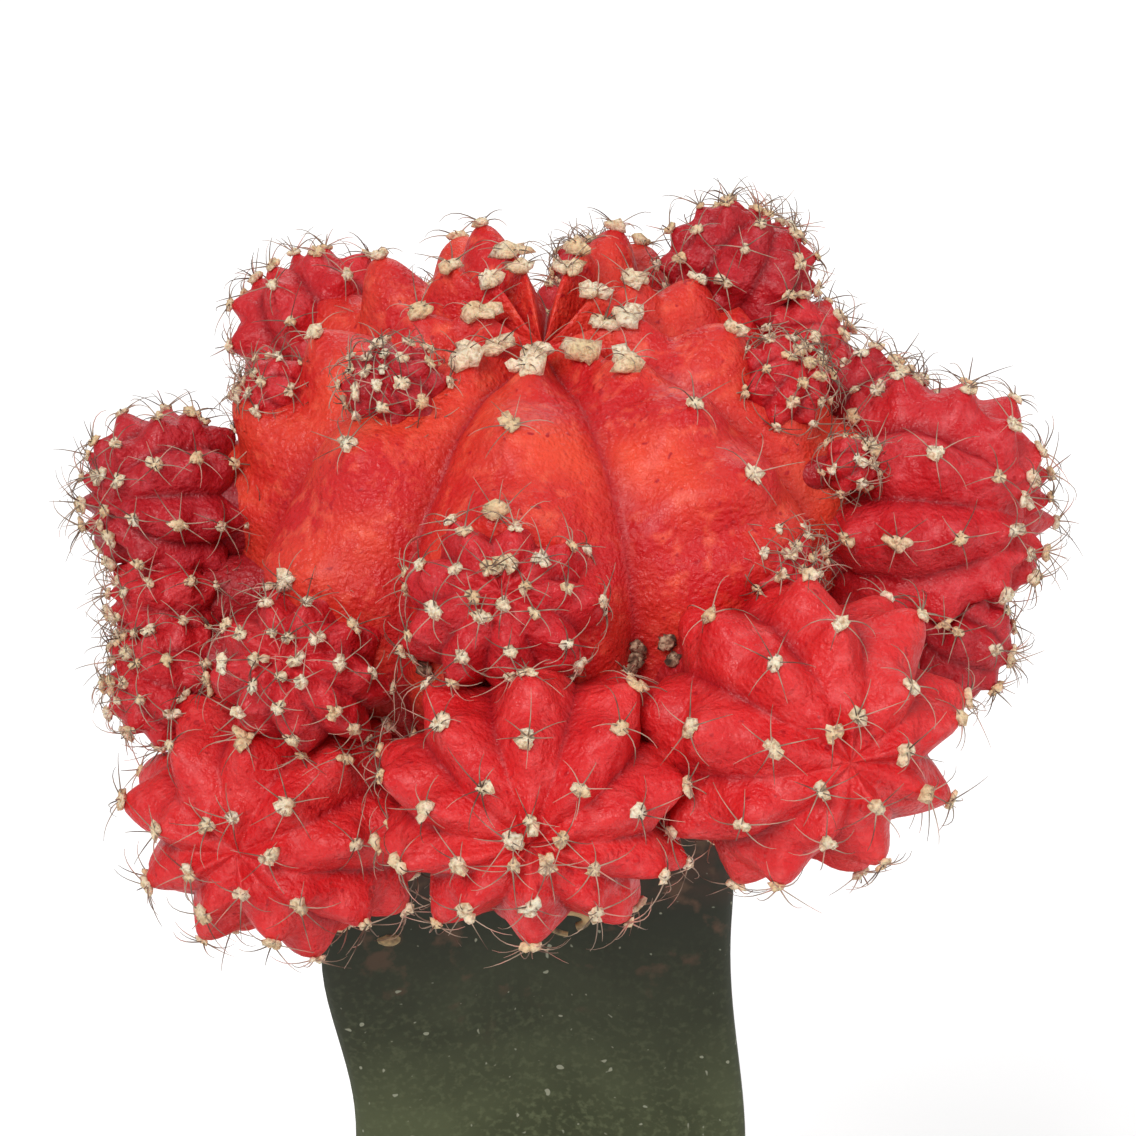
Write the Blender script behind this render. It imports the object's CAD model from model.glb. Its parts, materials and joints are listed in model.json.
# %% [markdown]
# # A potted moon cactus
# A moon cactus is two plants in one: a red globe with no green in it, which can't feed itself, grafted on
# the green stem of a climbing cactus. We load the fixed frame first. Its solids say where the graft, the
# mix and the pot are, and most of them are then replaced by the finely shaped bodies that we build here.

# %% Load the frame
import json
import random
from math import acos, atan2, cos, exp, pi, radians, sin, sqrt, tau

import bmesh
import bpy
from mathutils import Matrix, Vector, noise

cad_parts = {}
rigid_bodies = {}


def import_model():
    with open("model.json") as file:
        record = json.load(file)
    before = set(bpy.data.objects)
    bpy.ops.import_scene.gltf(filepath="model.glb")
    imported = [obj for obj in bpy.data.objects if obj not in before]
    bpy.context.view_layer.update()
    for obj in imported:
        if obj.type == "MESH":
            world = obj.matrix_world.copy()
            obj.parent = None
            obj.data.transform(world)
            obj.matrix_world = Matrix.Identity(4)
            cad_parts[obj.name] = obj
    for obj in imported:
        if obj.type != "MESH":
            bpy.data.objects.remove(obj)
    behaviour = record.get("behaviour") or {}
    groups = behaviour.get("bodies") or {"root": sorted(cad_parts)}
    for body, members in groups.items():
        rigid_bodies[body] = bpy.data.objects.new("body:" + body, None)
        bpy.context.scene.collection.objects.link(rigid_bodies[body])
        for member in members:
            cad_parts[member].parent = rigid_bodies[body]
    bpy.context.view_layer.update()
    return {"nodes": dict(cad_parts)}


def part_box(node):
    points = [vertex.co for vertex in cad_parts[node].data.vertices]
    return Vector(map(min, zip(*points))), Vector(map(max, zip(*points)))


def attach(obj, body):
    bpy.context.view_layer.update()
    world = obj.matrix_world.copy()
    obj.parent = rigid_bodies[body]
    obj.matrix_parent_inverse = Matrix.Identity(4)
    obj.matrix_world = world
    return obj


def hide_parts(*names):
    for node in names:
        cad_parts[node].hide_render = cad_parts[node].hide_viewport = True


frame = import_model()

MM = 0.001
BODY = "root"
OUT = bpy.context.scene.collection


def corners(node):
    low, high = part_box(node)
    return Vector(low), Vector(high)


STEM_HIGH = corners("rootstock")[1]
MIX_LOW, MIX_HIGH = corners("potting_mix")
MOTHER_ABOVE_GRAFT = 17.35 * MM
MOTHER_CENTRE = Vector((0, 0, STEM_HIGH.z + MOTHER_ABOVE_GRAFT))
print("graft at", round(STEM_HIGH.z, 4), "mother's centre at", round(MOTHER_CENTRE.z, 4))

# %% [markdown]
# ## Helpers
# Colours are written as sRGB hex, as a paint chart gives them, and turned to the linear values that the
# renderer mixes. One small function adds a shader node with its settings and its links, so that each
# material below reads as a short list.

# %% Colour and node helpers


def linear(code):
    """An sRGB hex colour as linear red, green, blue and alpha."""
    shares = [int(code[start:start + 2], 16) / 255 for start in (0, 2, 4)]
    made = [share / 12.92 if share <= 0.04045 else ((share + 0.055) / 1.055) ** 2.4 for share in shares]
    return (*made, 1)


def add(material, kind, links=None, **settings):
    """Adds a node. Settings name its properties or, by number or name, its sockets; links name its inputs."""
    node = material.node_tree.nodes.new("ShaderNode" + kind)
    values = settings.pop("values", {})
    for name, value in settings.items():
        setattr(node, name, value)
    for socket, value in values.items():
        node.inputs[socket].default_value = value
    for socket, source in (links or {}).items():
        material.node_tree.links.new(source, node.inputs[socket])
    return node


def new_material(name, roughness, values=None):
    """A material with one Principled shader, and that shader."""
    material = bpy.data.materials.new(name)
    material.use_nodes = True
    shader = material.node_tree.nodes["Principled BSDF"]
    shader.inputs["Roughness"].default_value = roughness
    for socket, value in (values or {}).items():
        shader.inputs[socket].default_value = value
    return material, shader


def ramp(material, source, stops):
    """A colour ramp through (place, hex) stops."""
    node = add(material, "ValToRGB", {0: source})
    band = node.color_ramp
    while len(band.elements) < len(stops):
        band.elements.new(0.5)
    for element, (place, code) in zip(band.elements, stops):
        element.position = place
        element.color = linear(code)
    return node.outputs[0]


def grey_ramp(material, source, low, high):
    """0 up to the place low, and 1 from the place high."""
    node = add(material, "MapRange", {0: source}, values={1: low, 2: high})
    return node.outputs[0]


def mix(material, share, first, second):
    """Mixes two colours, each a socket or a hex code."""
    node = add(material, "Mix", data_type="RGBA")
    for socket, value in ((0, share), (6, first), (7, second)):
        if isinstance(value, str):
            node.inputs[socket].default_value = linear(value)
        elif isinstance(value, (int, float)):
            node.inputs[socket].default_value = value
        else:
            material.node_tree.links.new(value, node.inputs[socket])
    return node.outputs[2]


def grain(material, place, size, detail):
    """A noise whose features are about size metres across."""
    return add(material, "TexNoise", {"Vector": place}, values={"Scale": 1 / size, "Detail": detail})


def bump(material, shader, height, depth, strength=1.0, under=None):
    """Raises the surface by depth metres where height is 1."""
    links = {"Height": height}
    if under:
        links["Normal"] = under
    node = add(material, "Bump", links, values={"Strength": strength, "Distance": depth})
    material.node_tree.links.new(node.outputs[0], shader.inputs["Normal"])
    return node.outputs[0]


def place_on(material):
    return add(material, "TexCoord").outputs["Object"]


def link(material, source, shader, socket):
    material.node_tree.links.new(source, shader.inputs[socket])


def piece_from(name, shape, material, smooth=True):
    """Makes a bmesh into a piece of the object that rides on its one body."""
    mesh = bpy.data.meshes.new(name)
    shape.normal_update()
    shape.to_mesh(mesh)
    shape.free()
    piece = bpy.data.objects.new(name, mesh)
    OUT.objects.link(piece)
    mesh.materials.append(material)
    if smooth:
        mesh.shade_smooth()
    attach(piece, BODY)
    return piece


# %% [markdown]
# ## Camera, floor and light
# The plant is seen from the front and 30 degrees above, close up with a long lens, so that the head and
# the top of the green stem fill the frame. Light comes from a large soft panel high at the front, as by a
# bright window, with weaker ones at the right and behind, so the reds stay even and moist ridges sparkle.

# %% Camera and light
VIEW_RISE = radians(30)
VIEW_DISTANCE = 300 * MM
FRAME_WIDTH = 96.6 * MM  # what the camera takes in at the mother body's distance
SENSOR = 36.0
RIGHT = Vector((1, 0, 0))
UP = Vector((0, sin(VIEW_RISE), cos(VIEW_RISE)))
AHEAD = Vector((0, cos(VIEW_RISE), -sin(VIEW_RISE)))
AIM = MOTHER_CENTRE + RIGHT * 2.1 * MM - UP * 3.2 * MM

camera = bpy.data.objects.new("camera", bpy.data.cameras.new("camera"))
OUT.objects.link(camera)
camera_axes = Matrix((RIGHT, UP, -AHEAD)).transposed().to_4x4()
camera.matrix_world = Matrix.Translation(AIM - AHEAD * VIEW_DISTANCE) @ camera_axes
camera.data.sensor_width = SENSOR
camera.data.lens = SENSOR * VIEW_DISTANCE / FRAME_WIDTH
camera.data.clip_start = 0.01
bpy.context.scene.camera = camera
bpy.context.scene.view_settings.view_transform = "Standard"


def panel(name, place, size, power):
    """A square soft light that looks at the head."""
    lamp = bpy.data.lights.new(name, "AREA")
    lamp.size = size
    lamp.energy = power
    holder = bpy.data.objects.new(name, lamp)
    OUT.objects.link(holder)
    holder.location = place
    holder.rotation_euler = (MOTHER_CENTRE - Vector(place)).to_track_quat("-Z", "Y").to_euler()


panel("window_panel", (-0.25, -0.55, 0.85), 0.35, 5.6)
panel("right_panel", (0.7, -0.35, 0.45), 0.4, 1.7)
panel("back_panel", (0.1, 0.7, 0.6), 0.6, 2.2)

world = bpy.data.worlds.new("room")
bpy.context.scene.world = world
world.use_nodes = True
tree = world.node_tree
dim = tree.nodes["Background"]
dim.inputs["Color"].default_value = (1, 1, 1, 1)
dim.inputs["Strength"].default_value = 0.4
bright = tree.nodes.new("ShaderNodeBackground")
bright.inputs["Color"].default_value = (1, 1, 1, 1)
seen = tree.nodes.new("ShaderNodeLightPath")
choose = tree.nodes.new("ShaderNodeMixShader")
tree.links.new(seen.outputs["Is Camera Ray"], choose.inputs[0])
tree.links.new(dim.outputs[0], choose.inputs[1])
tree.links.new(bright.outputs[0], choose.inputs[2])
tree.links.new(choose.outputs[0], tree.nodes["World Output"].inputs[0])

floor_shape = bmesh.new()
bmesh.ops.create_grid(floor_shape, x_segments=1, y_segments=1, size=3.0)
floor_mesh = bpy.data.meshes.new("floor")
floor_shape.to_mesh(floor_mesh)
floor_shape.free()
floor = bpy.data.objects.new("floor", floor_mesh)
OUT.objects.link(floor)
paper, paper_shader = new_material("white_backdrop_paper", 0.9)
paper_shader.inputs["Base Color"].default_value = linear("f4f4f4")
paper_seen = add(paper, "LightPath").outputs["Is Camera Ray"]
paper_shader.inputs["Emission Color"].default_value = (1, 1, 1, 1)
paper_lift = add(paper, "Math", {0: paper_seen}, operation="MULTIPLY", values={1: 0.3})
link(paper, paper_lift.outputs[0], paper_shader, "Emission Strength")
floor_mesh.materials.append(paper)
print("camera lens", round(camera.data.lens, 1), "mm")

# %% [markdown]
# ## Where the plantlets grow
# Each offset is a small globe that sprouted from the mother body. The list repeats the place, the size and
# the tip's direction of the frame's solids, with the front one 0.2 mm smaller. What is added here is how the
# skin looks: the ribs, how far they are turned round the tip, where the pads start, and which red it has.

# %% The offsets
# name: azimuth, latitude and reach (mm) of its centre from the mother body's centre, radius (mm), tip
# azimuth, tip elevation, number of ribs, their roll, the first felt pad's polar angle, the step between
# pads, and the skin's redness from 0 (light red) to 1 (crimson). All angles are in degrees.
OFFSETS = {
    "lower_right": (37, -7, 33.6, 12.2, 24, 20, 9, 10, 16, 32, 0.30),
    "front": (-1, -12, 32.6, 11.4, -1, 16, 10, 0, 11, 29, 0.42),
    "lower_left": (-46, -28, 33.6, 11.5, -21, 15, 9, -3, 17, 30, 0.42),
    "right": (87, 4, 32.3, 10.9, 68, 10, 9, 5, 18, 25, 0.55),
    "left": (-88, 6, 31.8, 7.4, -62, 14, 9, 0, 15, 27, 0.75),
    "centre": (-7, 15, 26.8, 7.1, 2, 50, 9, 12, 15, 26, 0.55),
    "upper_left": (-131, 21, 28.4, 7.2, -140, 42, 8, 0, 20, 30, 0.7),
    "upper_right": (130, 38, 28.0, 6.3, 128, 52, 9, 0, 18, 28, 0.75),
    "mid_left": (-41, -2, 29.2, 6.6, -20, 46, 9, 8, 14, 26, 0.6),
    "shoulder_right": (100, 16, 29.4, 5.8, 112, 48, 8, 0, 18, 32, 0.9),
    "back_right": (113, 26, 26.6, 5.2, 88, 28, 7, 0, 22, 36, 0.7),
    "low_left": (-68, -13, 34.5, 5.4, -66, 30, 8, 0, 16, 28, 0.6),
    "middle_left": (-78, -6, 32.3, 5.2, -74, 10, 8, 0, 18, 30, 0.7),
    "low_right": (75, -9, 36.4, 4.8, 80, -20, 7, 0, 20, 40, 1.0),
    "crown_left": (-55, 50, 22.8, 4.0, -50, 62, 8, 0, 16, 30, 0.8),
    "crown_right": (84, 36, 24.8, 4.0, 84, 60, 8, 0, 16, 30, 0.7),
    "mid_right": (46, 14, 27.2, 3.4, 44, 40, 7, 0, 18, 34, 0.6),
    "bud_left": (-91, 30, 25.8, 3.0, -70, 34, 6, 0, 20, 40, 0.7),
    "stalked": (171, 29, 27.6, 2.7, 176, 62, 7, 0, 20, 40, 0.8),
    "bud_right": (74, 21, 28.2, 2.4, 66, 34, 6, 0, 20, 44, 0.6),
    "bud_low_left": (-46, 6, 27.6, 2.0, -44, 30, 6, 0, 20, 50, 0.6),
    "back": (178, -6, 33.0, 9.6, 178, 18, 9, 0, 16, 28, 0.5),
    "back_low_left": (-134, -20, 34.0, 9.2, -140, 12, 9, 14, 16, 30, 0.5),
    "back_low_right": (132, -16, 34.4, 10.0, 136, 14, 9, 5, 15, 30, 0.4),
    "back_left": (-158, 12, 28.4, 4.4, -160, 44, 7, 0, 18, 34, 0.7),
    "back_bud": (152, 12, 28.0, 3.2, 150, 44, 6, 0, 20, 40, 0.8),
}


def direction(azimuth, elevation):
    """A unit vector: azimuth 0 looks to the front (-Y) and +90 to the right (+X)."""
    turn, rise = radians(azimuth), radians(elevation)
    return Vector((sin(turn) * cos(rise), -cos(turn) * cos(rise), sin(rise)))


def facing(azimuth, elevation):
    """The rotation that points a body's own +Z that way and keeps its +X level."""
    tip = direction(azimuth, elevation)
    side = Vector((0, 0, 1)).cross(tip).normalized()
    return Matrix((side, tip.cross(side), tip)).transposed()


def centre_of(name):
    azimuth, latitude, reach = OFFSETS[name][:3]
    return MOTHER_CENTRE + direction(azimuth, latitude) * reach * MM


print(len(OFFSETS), "offsets")

# %% [markdown]
# ## Skins
# The red skin is a thin, moist, translucent layer over watery flesh: some light goes in and comes out
# nearby, which softens every shadow to a deep red. Its colour runs from orange red on the swollen rib
# tops to crimson in the grooves. The surface is pebbled by cells about half a millimetre across, so a
# highlight breaks into small glints. The offsets share one recipe and differ in redness and age.

# %% Red skin
CELL = 0.45 * MM


def red_skin(name, crest_low, crest_high, groove, blush, patch):
    """Moist red cactus skin. The crest attribute is 1 on a rib's ridge and 0 in a groove."""
    material, shader = new_material(name, 0.36, {
        "IOR": 1.38,
        "Subsurface Weight": 0.22,
        "Subsurface Scale": 1.8 * MM,
        "Coat Weight": 0.08,
        "Coat Roughness": 0.25,
    })
    shader.inputs["Subsurface Radius"].default_value = (1.0, 0.25, 0.12)
    place = place_on(material)
    crest = add(material, "Attribute", attribute_name="crest").outputs["Fac"]
    shade = add(material, "Attribute", attribute_name="shade").outputs["Fac"]
    blotches = grain(material, place, patch, 4.0).outputs[0]
    streaks = grain(material, place, 1.4 * MM, 3.0).outputs[0]
    tone = mix(material, grey_ramp(material, blotches, 0.42, 0.70), crest_low, crest_high)
    tone = mix(material, grey_ramp(material, streaks, 0.52, 0.78), tone, blush)
    tone = mix(material, grey_ramp(material, crest, 0.5, 0.0), tone, groove)
    tone = mix(material, shade, tone, "7d1a20")
    freckles = grain(material, place, 0.9 * MM, 1.0)
    tone = mix(material, grey_ramp(material, freckles.outputs[0], 0.69, 0.75), tone, "b8161f")
    link(material, tone, shader, "Base Color")
    gloss = grain(material, place, 1.1 * MM, 2.0).outputs[0]
    rough = add(material, "MapRange", {0: gloss}, values={1: 0.35, 2: 0.7, 3: 0.33, 4: 0.58})
    link(material, rough.outputs[0], shader, "Roughness")
    cells = grain(material, place, CELL, 2.0).outputs[0]
    dents = grain(material, place, 1.7 * MM, 2.0).outputs[0]
    under = bump(material, shader, dents, 0.4 * MM, 0.7)
    bump(material, shader, cells, 0.3 * MM, 1.0, under)
    return material


MOTHER_SKIN = red_skin("orange_red_cactus_skin", "cc1c20", "ea4a30", "b81a1f", "ee5c44", 10 * MM)
SKINS = (
    red_skin("light_red_cactus_skin", "dc2425", "e43634", "bf1a20", "ec5450", 5 * MM),
    red_skin("red_cactus_skin", "d52226", "df3232", "b0161e", "e44c4c", 5 * MM),
    red_skin("deep_red_cactus_skin", "c81d26", "d22d33", "a0121c", "dc464c", 4 * MM),
    red_skin("crimson_cactus_skin", "b01823", "c4252f", "8c1019", "cc3d47", 4 * MM),
)


def skin_of(redness):
    return SKINS[min(int(redness * len(SKINS)), len(SKINS) - 1)]


print("skins:", [skin.name for skin in SKINS])

# %% [markdown]
# ## Ribbed bodies
# Cactus ribs are rounded on top and meet in sharp grooves. A pad of felt sits on each ridge at even steps,
# on a chin-like bump. So each body starts as an operator's round globe, and its points are pushed in and
# out by a short formula, as a sculptor would, with a little seeded noise so that no rib is like another.

# %% Shape of an offset
SUNKEN = 0.15
FLATTENED = 0.92
UNDERSIDE = 0.83  # the lower side is flatter, where crowding and weight press on it
LUMPS = 0.05
CREASE = 0.035
GROOVE = 0.125
CHIN_WIDTH = radians(9.5)
FULL_RIBS_FROM = 0.9  # polar angle in radians where ribs reach their full depth
CROWN_WIDTH = 0.38  # of the sunken crown, in radians


def even_ribs(count, roll, first, step, limit=132):
    """Ribs at nearly even turns. Every other one has its pads half a step further from the tip."""
    chance = random.Random(count * 100 + first + step)
    made = {}
    for rib in range(count):
        angle = first + (rib % 2) * step / 2
        pads = []
        while angle < limit:
            pads.append(angle + chance.uniform(-0.12, 0.12) * step)
            angle += step
        made[(roll + rib * 360 / count + chance.uniform(-0.1, 0.1) * 360 / count) % 360] = tuple(pads)
    return made


def neighbours(turns, around):
    """The ribs on both sides of a turn in degrees, and the share of the way from one to the other."""
    for index, start in enumerate(turns):
        end = turns[(index + 1) % len(turns)]
        span = (end - start) % 360
        part = (around - start) % 360
        if part < span:
            return start, end, part / span
    return turns[0], turns[1], 0


def offset_point(polar, around, ribs, turns, seed):
    """A radius-1 offset's point at a polar angle (radians) and turn (degrees), and how near a ridge it is."""
    start, end, part = neighbours(turns, around)
    near = start if part < 0.5 else end
    ridge = abs(cos(pi * part)) ** 0.95
    tip_share = min(1, polar / FULL_RIBS_FROM)
    radius = 1 - GROOVE * tip_share * (1 - ridge)
    for angle in ribs[near]:
        away = (polar - radians(angle)) / CHIN_WIDTH
        # the chin is steeper on its lower side, where the felt pad sits above it
        steep = 1.5 if away > 0 else 0.8
        radius += (0.07 + 0.075 * tip_share) * exp(-((away * steep) ** 2)) * ridge ** 3
        # a faint crease crosses the rib just below each chin
        radius -= CREASE * tip_share * exp(-(((away - 1.6) * 2.2) ** 2)) * ridge ** 2
    unit = Vector((sin(polar) * sin(radians(around)), sin(polar) * cos(radians(around)), cos(polar)))
    coarse = noise.noise(unit * 2.2 + Vector((seed, 0, 0)))
    fine = noise.noise(unit * 7 + Vector((0, seed, 0)))
    radius += LUMPS * (coarse + 0.6 * fine)
    point = unit * radius
    point.z = (point.z - SUNKEN * exp(-((polar / CROWN_WIDTH) ** 2))) * FLATTENED
    if point.y < 0:
        point.y *= UNDERSIDE
    return point, 1 - (1 - ridge) * tip_share


def ribs_of(name):
    return even_ribs(*OFFSETS[name][6:10])


def add_neck(shape, centre, radius):
    """The short fleshy neck that joins an offset to the mother body."""
    inward = MOTHER_CENTRE - centre
    length = max(0.1 * MM, inward.length - 19 * MM)
    turn = inward.to_track_quat("Z", "Y").to_matrix().to_4x4()
    middle = Matrix.Translation(centre + inward.normalized() * length / 2)
    stretch = Matrix.Diagonal((radius * 0.62, radius * 0.62, length / 2 + radius * 0.25, 1))
    matrix = middle @ turn @ stretch
    return bmesh.ops.create_uvsphere(shape, u_segments=24, v_segments=14, radius=1, matrix=matrix)


def make_offset(name, seed):
    """Makes one offset. Returns its felt pads: place, outward direction, size and the way down the rib."""
    radius, tip_az, tip_el = OFFSETS[name][3:6]
    redness = OFFSETS[name][10]
    per_rib = 16 if radius > 8 else 12
    rings = 100 if radius > 8 else 72 if radius > 4.5 else 48
    ribs = ribs_of(name)
    turns = sorted(ribs)
    turn = facing(tip_az, tip_el)
    centre = centre_of(name)
    shape = bmesh.new()
    bmesh.ops.create_uvsphere(shape, u_segments=len(ribs) * per_rib, v_segments=rings, radius=1)
    crest = shape.verts.layers.float.new("crest")
    shade = shape.verts.layers.float.new("shade")
    for vertex in shape.verts:
        polar = acos(max(-1, min(1, vertex.co.z)))
        share = (atan2(vertex.co.x, vertex.co.y) / tau % 1) * len(turns)
        index = int(share) % len(turns)
        span = (turns[(index + 1) % len(turns)] - turns[index]) % 360
        point, ridge = offset_point(polar, turns[index] + (share - int(share)) * span, ribs, turns, seed)
        vertex[crest] = ridge
        vertex[shade] = max(0, min(1, (polar - 1.75) / 1.2)) * 0.7
        vertex.co = centre + turn @ (point * radius * MM)
    neck = add_neck(shape, centre, radius * MM)
    for vertex in neck["verts"]:
        vertex[crest] = 0.4
        vertex[shade] = 0.45
    piece = piece_from(name + "_offset", shape, skin_of(redness))
    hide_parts("offset_" + name)

    found = []
    for around, pads in ribs.items():
        for angle in pads:
            polar = radians(angle)
            point, _ = offset_point(polar, around, ribs, turns, seed)
            ahead, _ = offset_point(polar + 0.03, around, ribs, turns, seed)
            unit = Vector((sin(polar) * sin(radians(around)), sin(polar) * cos(radians(around)), cos(polar)))
            size = (0.8 + 0.045 * radius) * (1.15 - 0.3 * polar / pi)
            place = centre + turn @ (point * radius * MM)
            found.append((place, turn @ unit, size * MM, turn @ (ahead - point).normalized()))
    return found


GROWTH = {name: make_offset(name, number * 3.7) for number, name in enumerate(OFFSETS)}
print("felt pads on offsets:", sum(len(found) for found in GROWTH.values()))

# %% [markdown]
# ## The mother body
# The mother body is a broad flattened globe. Its ribs are uneven: those at the front are swollen with
# water and nearly smooth, while those behind and round the crown stand up as sharp tall teeth. Each rib
# is given by its azimuth, and its pads by the first one's polar angle and the step between them.

# %% Mother body
MOTHER_RADIUS = 27.3 * MM
MOTHER_HALF_HEIGHT = 20.4 * MM
YOUNG_PAD = 10  # the newest pads, in a ring round the sunken crown
LAST_PAD = 80
# rib azimuth: (first pad's polar angle, step between pads, tooth height mm, swelling mm)
MOTHER_RIBS = {
    -162: (15, 18, 5.0, 0.0),
    -128: (18, 17, 4.2, 0.0),
    -92: (20, 19, 2.6, 0.2),
    -46: (18, 28, 1.6, 0.7),
    -8: (16, 18, 1.7, 0.8),
    44: (20, 16, 1.8, 1.0),
    88: (14, 18, 2.2, 0.6),
    122: (17, 14, 3.2, 0.0),
    158: (15, 17, 4.6, 0.0),
}
MOTHER_CHIN_WIDTH = radians(7)
MOTHER_SUNKEN = 3.4 * MM
MOTHER_CROWN_WIDTH = 0.36
BELLY_AT = radians(58)  # polar angle where the front ribs swell most
BELLY_WIDTH = 0.45
CRESTS = sorted(MOTHER_RIBS)
MOTHER_PADS = {turn: (YOUNG_PAD, *range(rib[0], LAST_PAD, rib[1])) for turn, rib in MOTHER_RIBS.items()}


def mother_point(polar, azimuth):
    """The surface at a polar angle (radians) and azimuth (degrees), how near a ridge, and its normal."""
    start, end, part = neighbours(CRESTS, azimuth)
    near = start if part < 0.5 else end
    tooth, swelling = MOTHER_RIBS[near][2:]
    behind = 0.5 - 0.5 * cos(radians(azimuth))
    ridge = abs(cos(pi * part)) ** (0.75 - 0.1 * behind)
    groove = (0.1 + 0.2 * behind) * sin(polar) ** 0.55 * (1 - ridge)
    nearest = min(abs(polar - radians(angle)) for angle in MOTHER_PADS[near])
    chin = exp(-((nearest / MOTHER_CHIN_WIDTH) ** 2)) * ridge ** 3
    outward = Vector((sin(radians(azimuth)), -cos(radians(azimuth)), 0))
    reach = sin(polar) * MOTHER_RADIUS * (1 - groove)
    height = cos(polar) * MOTHER_HALF_HEIGHT * (1 - 0.75 * groove)
    height -= MOTHER_SUNKEN * exp(-((polar / MOTHER_CROWN_WIDTH) ** 2))
    normal = (outward * sin(polar) + Vector((0, 0, cos(polar) * 1.2))).normalized()
    point = outward * reach + Vector((0, 0, height))
    belly = exp(-(((polar - BELLY_AT) / BELLY_WIDTH) ** 2)) * ridge
    point += normal * (tooth * chin + swelling * belly) * MM
    lumps = noise.noise(point * 110 + Vector((4, 0, 0))) * 0.9 + noise.noise(point * 330) * 0.3
    point += normal * lumps * MM
    return point, ridge, normal


shape = bmesh.new()
bmesh.ops.create_uvsphere(shape, u_segments=9 * 32, v_segments=170, radius=1)
crest = shape.verts.layers.float.new("crest")
shade = shape.verts.layers.float.new("shade")
for vertex in shape.verts:
    polar = acos(max(-1, min(1, vertex.co.z)))
    share = (atan2(vertex.co.x, vertex.co.y) / tau % 1) * len(CRESTS)
    index = int(share)
    span = (CRESTS[(index + 1) % len(CRESTS)] - CRESTS[index % len(CRESTS)]) % 360
    azimuth = CRESTS[index % len(CRESTS)] + (share - index) * span
    point, ridge, normal = mother_point(polar, azimuth)
    point.z = max(point.z, STEM_HIGH.z - MOTHER_CENTRE.z + 0.35 * MM)
    vertex[crest] = ridge
    vertex[shade] = max(0, min(1, (polar - 1.45) / 0.9)) * 0.75
    vertex.co = MOTHER_CENTRE + point
bmesh.ops.recalc_face_normals(shape, faces=shape.faces)
mother = piece_from("mother_body", shape, MOTHER_SKIN)
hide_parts("scion_mother")

GROWTH["mother"] = []
for azimuth, angles in MOTHER_PADS.items():
    for angle in angles:
        point, _, normal = mother_point(radians(angle), azimuth)
        ahead, _, _ = mother_point(radians(angle) + 0.03, azimuth)
        size = 2.7 if angle < 25 else 1.8
        GROWTH["mother"].append((MOTHER_CENTRE + point, normal, size * MM, (ahead - point).normalized()))
print("mother body:", len(mother.data.vertices), "points")

# %% [markdown]
# ## Felt pads and spines
# A cactus spine never grows from bare skin: it grows from an areole, a pad of felt. Here the pads are
# crumbs of cream wool, each of five small lumps, and the spines are thin bent hairs that spread
# from them. There are hundreds, so a lump has 20 faces and a spine is a four-sided tapering tube.

# %% Wool and spine materials
WOOL, wool_shader = new_material("cream_areole_felt", 0.9, {
    "Subsurface Weight": 0.15,
    "Subsurface Scale": 0.6 * MM,
    "Specular IOR Level": 0.2,
})
spot = place_on(WOOL)
fluff = grain(WOOL, spot, 0.35 * MM, 3.0).outputs[0]
tint = grain(WOOL, spot, 3.5 * MM, 1.0).outputs[0]
felt = mix(WOOL, grey_ramp(WOOL, tint, 0.36, 0.64), "f8e6cb", "ecca9f")
felt = mix(WOOL, grey_ramp(WOOL, fluff, 0.56, 0.30), felt, "bd9573")
link(WOOL, felt, wool_shader, "Base Color")
bump(WOOL, wool_shader, fluff, 0.25 * MM, 0.9)

SPINE, spine_shader = new_material("horn_brown_spine", 0.55, {"Specular IOR Level": 0.35})
spot = place_on(SPINE)
tint = grain(SPINE, spot, 2.2 * MM, 1.0).outputs[0]
horn = ramp(SPINE, tint, ((0.33, "5a4236"), (0.47, "8d7a68"), (0.58, "b59a86"), (0.7, "c98f80")))
link(SPINE, horn, spine_shader, "Base Color")


# %% Which pads are out in the open
BURIED_SHARE = 0.93  # of a body's radius: a pad nearer its centre than this is inside it
GRAFT_REACH = 11 * MM


def buried(place, owner):
    """True where a pad would be inside another body."""
    relative = place - MOTHER_CENTRE
    if owner != "mother":
        flat = Vector((relative.x, relative.y, relative.z * MOTHER_RADIUS / MOTHER_HALF_HEIGHT))
        if flat.length < BURIED_SHARE * MOTHER_RADIUS:
            return True
    for name in OFFSETS:
        if name != owner and (place - centre_of(name)).length < BURIED_SHARE * OFFSETS[name][3] * MM:
            return True
    return place.z < STEM_HIGH.z and Vector((place.x, place.y)).length < GRAFT_REACH


def across(normal, chance):
    """A random direction square to the normal."""
    side = normal.orthogonal().normalized()
    return Matrix.Rotation(chance.uniform(0, tau), 3, normal) @ side


def add_lump(shape, place, size, normal, chance):
    """One crumb of wool: a 20-sided ball, squashed and knocked out of round."""
    made = bmesh.ops.create_icosphere(shape, subdivisions=1, radius=size)
    wide, deep, thick = chance.uniform(0.75, 1.25), chance.uniform(0.75, 1.25), chance.uniform(0.5, 0.9)
    squash = Matrix.Diagonal((wide, deep, thick))
    turn = normal.to_track_quat("Z", "Y").to_matrix() @ Matrix.Rotation(chance.uniform(0, tau), 3, "Z")
    for vertex in made["verts"]:
        knocked = vertex.co * chance.uniform(0.6, 1.45)
        vertex.co = place + turn @ (squash @ knocked)


def add_tuft(shape, place, normal, size, chance):
    for _ in range(5):
        aside = across(normal, chance) * size * chance.uniform(0.05, 0.42)
        middle = place + aside + normal * size * 0.1
        add_lump(shape, middle, size * chance.uniform(0.26, 0.42), normal, chance)


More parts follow.
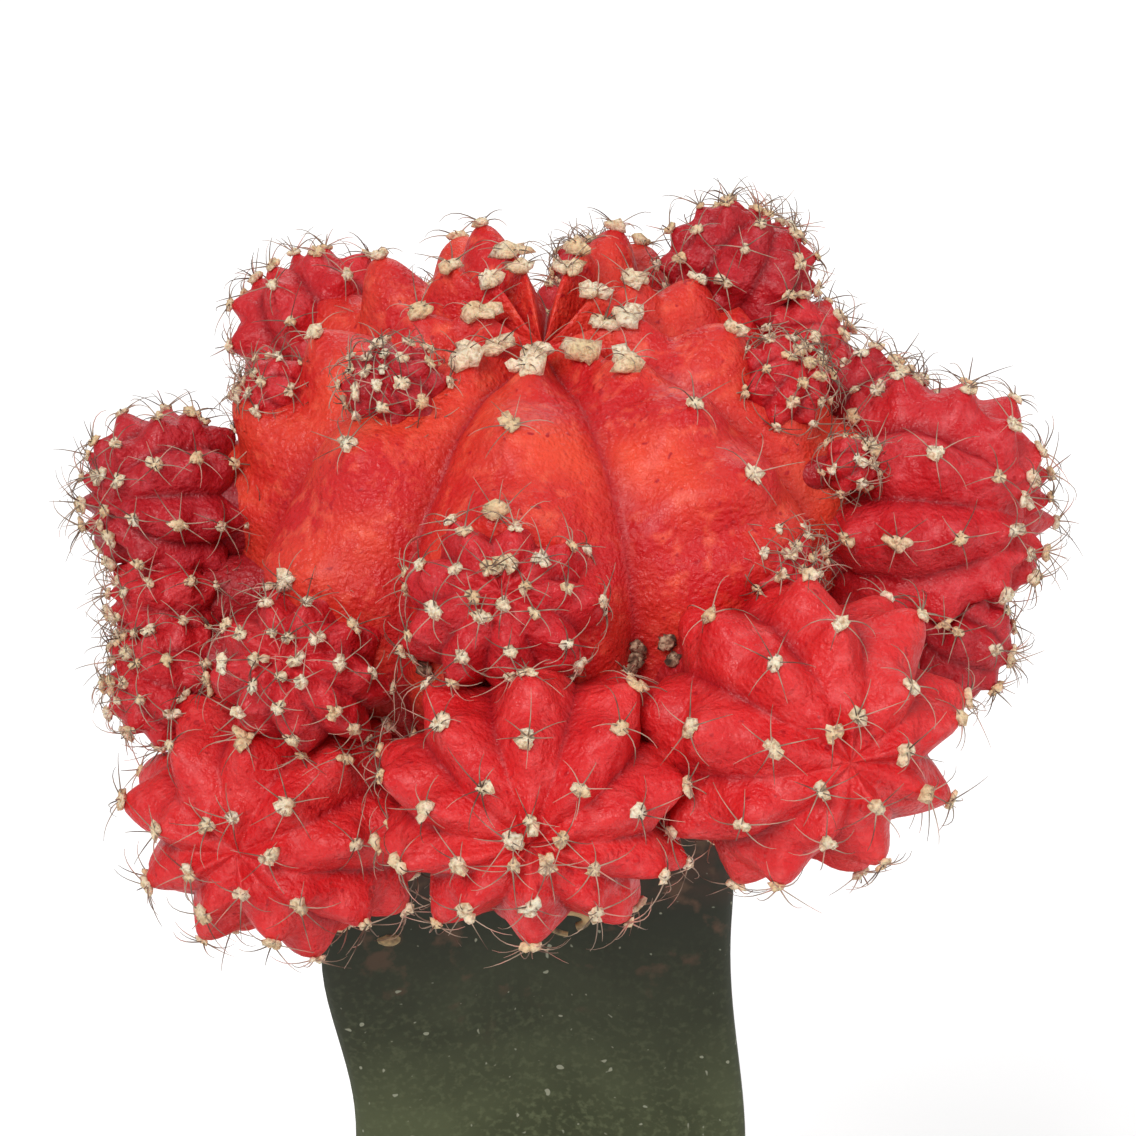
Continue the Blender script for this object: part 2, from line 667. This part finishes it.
def add_spine(curve, place, normal, outward, length, chance):
    """A thin hair that leaves the pad, bends outwards and tapers."""
    steps = 6
    lift = chance.uniform(0.35, 0.95)
    curl = chance.uniform(0.2, 2.2)
    aside = normal.cross(outward).normalized() * chance.uniform(-0.35, 0.35)
    point = place.copy()
    spline = curve.splines.new("POLY")
    spline.points.add(steps)
    for step in range(steps + 1):
        share = step / steps
        spline.points[step].co = (*point, 1)
        spline.points[step].radius = 1.0 - 0.75 * share
        heading = (outward + aside * share + normal * (lift - curl * share * share)).normalized()
        point = point + heading * length / steps


def dress(owner, pads, seed, length):
    """Puts wool and spines on a body's pads, as one piece of each."""
    chance = random.Random(seed)
    shape = bmesh.new()
    curve = bpy.data.curves.new(owner + "_spines", "CURVE")
    curve.dimensions = "3D"
    curve.bevel_depth = 0.075 * MM
    curve.bevel_resolution = 0
    curve.use_fill_caps = True
    count = 0
    for place, normal, size, along in pads:
        if buried(place, owner):
            continue
        count += 1
        swell = size * chance.uniform(0.8, 1.15)
        add_tuft(shape, place, normal, swell, chance)
        start = chance.uniform(0, tau)
        number = chance.choice((5, 6, 6, 7))
        for index in range(number):
            turn = start + index * tau / number + chance.uniform(-0.3, 0.3)
            outward = Matrix.Rotation(turn, 3, normal) @ along
            root = place + normal * size * 0.1
            add_spine(curve, root, normal, outward, length * chance.uniform(0.65, 1.2), chance)
    if not count:
        shape.free()
        return 0
    wool = piece_from(owner + "_felt_pads", shape, WOOL)
    spines = bpy.data.objects.new(owner + "_spines", curve)
    OUT.objects.link(spines)
    curve.materials.append(SPINE)
    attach(spines, BODY)
    return count


# %% Withered pads
# Deep in the crevices on both sides of the front offset, the mother's lowest pads died and turned brown.
CREVICES = (20, -22)  # azimuths
CREVICE_DEPTH = 81  # polar angle
WITHERED_SIZE = 1.2 * MM
OLD_FELT, old_shader = new_material("withered_brown_felt", 0.95)
crumb = grain(OLD_FELT, place_on(OLD_FELT), 0.6 * MM, 3.0).outputs[0]
browns = ramp(OLD_FELT, crumb, ((0.33, "3a2319"), (0.48, "7d5b47"), (0.62, "c0a588")))
link(OLD_FELT, browns, old_shader, "Base Color")
bump(OLD_FELT, old_shader, crumb, 0.3 * MM, 0.8)
chance = random.Random(77)
shape = bmesh.new()
for azimuth in CREVICES * 5:
    angle = CREVICE_DEPTH + chance.uniform(-7, 7)
    point, _, normal = mother_point(radians(angle), azimuth + chance.uniform(-4, 4))
    for _ in range(2):
        lifted = MOTHER_CENTRE + point + normal * chance.uniform(0, 0.7) * MM
        add_tuft(shape, lifted, normal, WITHERED_SIZE, chance)
withered = piece_from("withered_felt", shape, OLD_FELT)

# %% Dress each body
total = dress("mother", GROWTH["mother"], 11, 3.6 * MM)
for number, name in enumerate(OFFSETS):
    radius = OFFSETS[name][3]
    total += dress(name, GROWTH[name], 100 + number, (2.2 + 0.13 * radius) * MM)
print("pads dressed:", total)

# %% [markdown]
# ## Rootstock
# The stem is a piece of a climbing cactus: three thin wings with slightly hollow faces and a wavy margin.
# Its skin is a dark matt green with a grey bloom, darkest in the shade of the head. Where the grower cut
# the wings back to the graft, it has healed to brown cork. The frame's solid has the right shape, so a
# finer copy of it is made: merged, smoothed by subdivision and finished.

# %% Rootstock
GREEN, green_shader = new_material("green_stem_skin", 0.55, {"Specular IOR Level": 0.25})
spot = place_on(GREEN)
height = add(GREEN, "SeparateXYZ", {0: spot}).outputs[2]
cloud = grain(GREEN, spot, 9 * MM, 4.0).outputs[0]
speck = grain(GREEN, spot, 0.6 * MM, 2.0).outputs[0]
green = mix(GREEN, grey_ramp(GREEN, cloud, 0.35, 0.65), "393e27", "4c5237")
green = mix(GREEN, grey_ramp(GREEN, speck, 0.50, 0.72), green, "565c40")
shadow = grey_ramp(GREEN, height, STEM_HIGH.z - 38 * MM, STEM_HIGH.z - 14 * MM)
green = mix(GREEN, shadow, green, "2c2f24")
cork = grey_ramp(GREEN, height, STEM_HIGH.z - 15 * MM, STEM_HIGH.z - 11 * MM)
rag = grain(GREEN, spot, 2.2 * MM, 4.0).outputs[0]
cork = add(GREEN, "Math", {0: cork, 1: grey_ramp(GREEN, rag, 0.30, 0.50)}, operation="MULTIPLY").outputs[0]
green = mix(GREEN, cork, green, "46352a")
scar_zone = grey_ramp(GREEN, height, STEM_HIGH.z - 30 * MM, STEM_HIGH.z - 15 * MM)
scar = grain(GREEN, spot, 3.2 * MM, 5.0).outputs[0]
scar = grey_ramp(GREEN, scar, 0.60, 0.68)
scar = add(GREEN, "Math", {0: scar_zone, 1: scar}, operation="MULTIPLY").outputs[0]
green = mix(GREEN, scar, green, "5b4636")
dust = grain(GREEN, spot, 0.7 * MM, 0.0).outputs[0]
green = mix(GREEN, grey_ramp(GREEN, dust, 0.80, 0.84), green, "8f917c")
link(GREEN, green, green_shader, "Base Color")
under = bump(GREEN, green_shader, cloud, 0.5 * MM, 0.35)
bump(GREEN, green_shader, speck, 0.05 * MM, 0.5, under)

source = frame["nodes"]["rootstock"]
shape = bmesh.new()
shape.from_mesh(source.data)
bmesh.ops.remove_doubles(shape, verts=shape.verts, dist=0.00001)
bmesh.ops.join_triangles(shape, faces=shape.faces, angle_face_threshold=1.2, angle_shape_threshold=1.6)
stem = piece_from("stem", shape, GREEN)
round_off = stem.modifiers.new("round_off", "SUBSURF")
round_off.levels = 2
round_off.render_levels = 2
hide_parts("rootstock")

# %% Dried leftovers on the stem
# A withered tendril curls out under the front offset, and a tan seed husk is stuck near the left margin.
HUSK, husk_shader = new_material("dry_tan_husk", 0.8)
tint = grain(HUSK, place_on(HUSK), 0.9 * MM, 3.0).outputs[0]
link(HUSK, ramp(HUSK, tint, ((0.35, "6b5a45"), (0.5, "a08a63"), (0.65, "c9a878"))), husk_shader, "Base Color")
bump(HUSK, husk_shader, tint, 0.2 * MM, 0.7)
TENDRIL_AT = Vector((2.1 * MM, -13.2 * MM, STEM_HIGH.z - 13.6 * MM))
TENDRIL_WIDTH, TENDRIL_HEIGHT = 1.6 * MM, 1.0 * MM
loop_curve = bpy.data.curves.new("dried_tendril", "CURVE")
loop_curve.dimensions = "3D"
loop_curve.bevel_depth = 0.42 * MM
loop_curve.bevel_resolution = 2
loop_curve.use_fill_caps = True
loop = loop_curve.splines.new("POLY")
LOOP_STEPS = 22
loop.points.add(LOOP_STEPS)
for step in range(LOOP_STEPS + 1):
    share = step / LOOP_STEPS
    turned = radians(-60 + 330 * share)
    sideways = RIGHT * TENDRIL_WIDTH * cos(turned)
    upward = Vector((0, 0, 1)) * TENDRIL_HEIGHT * sin(turned)
    loop.points[step].co = (*(TENDRIL_AT + sideways + upward - Vector((0, 1, 0)) * 0.9 * MM * share), 1)
    loop.points[step].radius = 1 - 0.45 * share
tendril = bpy.data.objects.new("dried_tendril", loop_curve)
OUT.objects.link(tendril)
loop_curve.materials.append(HUSK)
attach(tendril, BODY)

HUSK_AT = Vector((-13.5 * MM, -11.6 * MM, STEM_HIGH.z - 17.0 * MM))
shape = bmesh.new()
bmesh.ops.create_uvsphere(shape, u_segments=20, v_segments=12, radius=1)
for vertex in shape.verts:
    point = Vector((vertex.co.x * 1.15, vertex.co.y * 0.42, vertex.co.z * 0.55)) * MM
    vertex.co = HUSK_AT + point * (1 + 0.25 * noise.noise(vertex.co * 1.7))
husk = piece_from("seed_husk", shape, HUSK)

# %% [markdown]
# ## Pot and mix
# The pot is thrown clay, fired without glaze: warm, dry and faintly ringed by the wheel, paler where
# minerals have dried on it. The mix is dark peat with grit and white grains of perlite on top.

# %% Clay
CLAY, clay_shader = new_material("unglazed_terracotta", 0.85, {"Specular IOR Level": 0.25})
spot = place_on(CLAY)
cloud = grain(CLAY, spot, 22 * MM, 4.0).outputs[0]
grit = grain(CLAY, spot, 0.8 * MM, 2.0).outputs[0]
clay = mix(CLAY, grey_ramp(CLAY, cloud, 0.35, 0.68), "b0623f", "c47a55")
clay = mix(CLAY, grey_ramp(CLAY, grit, 0.60, 0.75), clay, "8d4a2f")
salt = grain(CLAY, spot, 11 * MM, 5.0).outputs[0]
clay = mix(CLAY, grey_ramp(CLAY, salt, 0.60, 0.82), clay, "d9c2ac")
link(CLAY, clay, clay_shader, "Base Color")
rings = add(
    CLAY, "TexWave", {"Vector": spot}, bands_direction="Z",
    values={"Scale": 130.0, "Distortion": 1.5, "Detail": 2.0},
)
under = bump(CLAY, clay_shader, rings.outputs[1], 0.12 * MM, 0.4)
bump(CLAY, clay_shader, grit, 0.12 * MM, 0.6, under)
pot = frame["nodes"]["pot"]
pot.data.materials.clear()
pot.data.materials.append(CLAY)
pot.data.shade_smooth()
pot.data.set_sharp_from_angle(angle=radians(35))

# %% Mix and grit
PEAT, peat_shader = new_material("peat_and_grit", 0.95, {"Specular IOR Level": 0.2})
spot = place_on(PEAT)
crumb = grain(PEAT, spot, 1.3 * MM, 4.0).outputs[0]
peat = ramp(PEAT, crumb, ((0.3, "1d1510"), (0.5, "3a2a20"), (0.68, "5a4535")))
link(PEAT, peat, peat_shader, "Base Color")
bump(PEAT, peat_shader, crumb, 1.0 * MM, 1.0)
mix_node = frame["nodes"]["potting_mix"]
mix_node.data.materials.clear()
mix_node.data.materials.append(PEAT)

PERLITE, perlite_shader = new_material("white_perlite", 0.9)
crumb = grain(PERLITE, place_on(PERLITE), 0.5 * MM, 3.0).outputs[0]
link(PERLITE, ramp(PERLITE, crumb, ((0.35, "b9b2a6"), (0.6, "e9e5dc"))), perlite_shader, "Base Color")
bump(PERLITE, perlite_shader, crumb, 0.3 * MM, 0.8)


def scatter(name, material, number, smallest, largest, seed):
    """Crumbs lying on the mix, from the stem to the pot's wall."""
    chance = random.Random(seed)
    inner = (MIX_HIGH.x - MIX_LOW.x) / 2 - 1.5 * MM
    shape = bmesh.new()
    while number:
        turn, out = chance.uniform(0, tau), inner * sqrt(chance.uniform(0.02, 1))
        size = chance.uniform(smallest, largest)
        rise = MIX_HIGH.z - 1.3 * MM * (out / inner) ** 2
        place = Vector((out * sin(turn), -out * cos(turn), rise + 0.1 * size))
        number -= 1
        add_lump(shape, place, size, Vector((0, 0, 1)), chance)
    piece = piece_from(name, shape, material, smooth=False)


scatter("peat_crumbs", PEAT, 900, 0.5 * MM, 1.6 * MM, 5)
scatter("perlite_grains", PERLITE, 110, 0.5 * MM, 1.3 * MM, 6)
